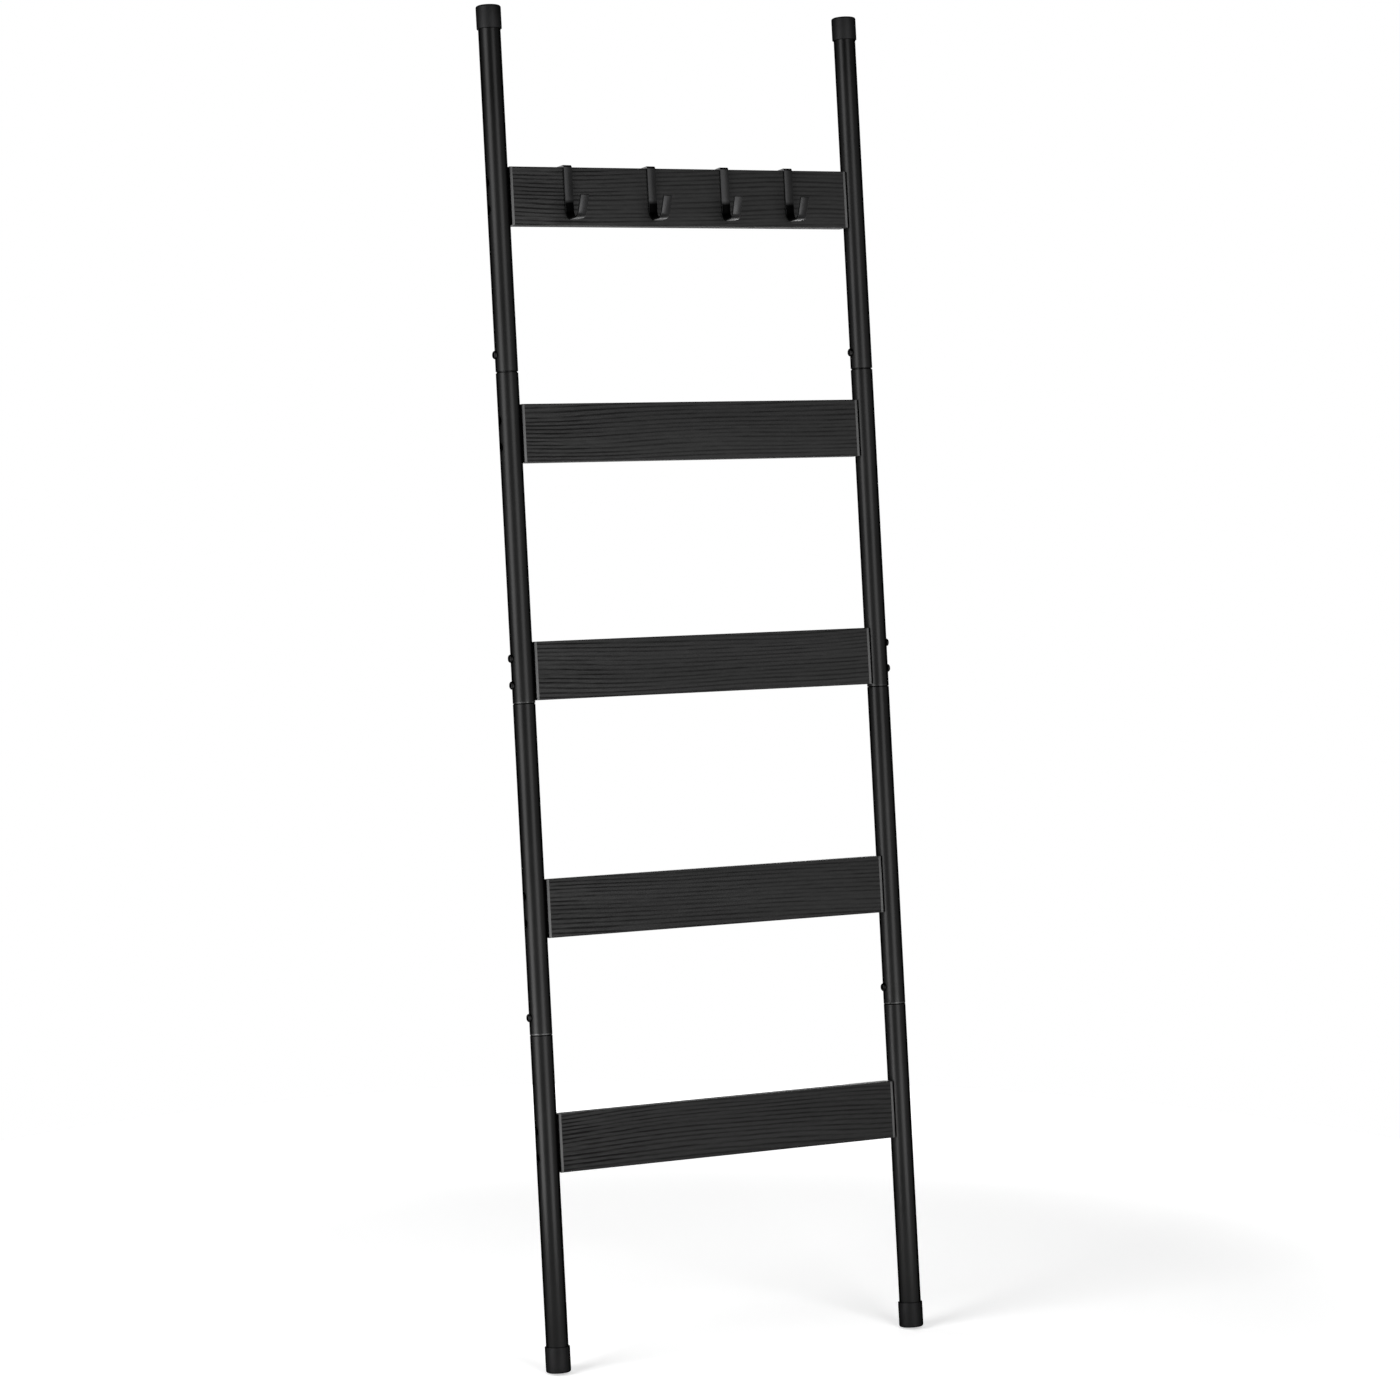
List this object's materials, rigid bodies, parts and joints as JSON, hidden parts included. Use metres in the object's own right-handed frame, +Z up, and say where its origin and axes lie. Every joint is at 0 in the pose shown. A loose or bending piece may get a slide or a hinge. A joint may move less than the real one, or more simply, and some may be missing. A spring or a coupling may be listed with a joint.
{
  "type": "blanket ladder",
  "caption": "Leaning blanket ladder: round black steel rails in plug-together sections, flat dark wood boards as rungs, and strip hooks that slide along the top board.",
  "frame": {"origin": "floor level, under the middle of the leaning ladder's overall box", "axes": "+Z up, +Y towards the wall that the ladder leans on, +X to the right seen from the room"},
  "size_m": [0.5106, 0.2282, 1.6229],
  "materials": {
    "rail_paint": "satin black powder coat",
    "board_wood": "matt charcoal black with darker open grain",
    "edge_band": "matt grey edge band, paler than the board",
    "cap_rubber": "matt black rubber",
    "hook_paint": "satin black paint",
    "bolt_steel": "blackened steel",
    "nut_steel": "zinc plated steel",
    "insert_steel": "yellow zinc plated steel"
  },
  "bodies": {
    "ladder": {"board_1": "board_wood", "board_1_bolts": "bolt_steel", "board_1_end_bands": "edge_band", "board_1_inserts": "insert_steel", "board_2": "board_wood", "board_2_bolts": "bolt_steel", "board_2_end_bands": "edge_band", "board_2_inserts": "insert_steel", "board_3": "board_wood", "board_3_bolts": "bolt_steel", "board_3_end_bands": "edge_band", "board_3_inserts": "insert_steel", "board_4": "board_wood", "board_4_bolts": "bolt_steel", "board_4_end_bands": "edge_band", "board_4_inserts": "insert_steel", "board_5": "board_wood", "board_5_bolts": "bolt_steel", "board_5_end_bands": "edge_band", "board_5_inserts": "insert_steel", "left_foot": "cap_rubber", "left_joint_bolts": "bolt_steel", "left_joint_nuts": "nut_steel", "left_rail_bottom": "rail_paint", "left_rail_lower": "rail_paint", "left_rail_top": "rail_paint", "left_rail_upper": "rail_paint", "left_top_cap": "cap_rubber", "right_foot": "cap_rubber", "right_joint_bolts": "bolt_steel", "right_joint_nuts": "nut_steel", "right_rail_bottom": "rail_paint", "right_rail_lower": "rail_paint", "right_rail_top": "rail_paint", "right_rail_upper": "rail_paint", "right_top_cap": "cap_rubber"},
    "hook_1_body": {"hook_1": "hook_paint"},
    "hook_2_body": {"hook_2": "hook_paint"},
    "hook_3_body": {"hook_3": "hook_paint"},
    "hook_4_body": {"hook_4": "hook_paint"}
  },
  "joints": [
    {"name": "hook_1_slide", "type": "slide", "parent": "ladder", "child": "hook_1_body", "axis": [1, 0, 0], "range_m": [-0.0669, 0.0464]},
    {"name": "hook_2_slide", "type": "slide", "parent": "ladder", "child": "hook_2_body", "axis": [1, 0, 0], "range_m": [-0.049, 0.0425]},
    {"name": "hook_3_slide", "type": "slide", "parent": "ladder", "child": "hook_3_body", "axis": [1, 0, 0], "range_m": [-0.0402, 0.0365]},
    {"name": "hook_4_slide", "type": "slide", "parent": "ladder", "child": "hook_4_body", "axis": [1, 0, 0], "range_m": [-0.0372, 0.0745]}
  ]
}
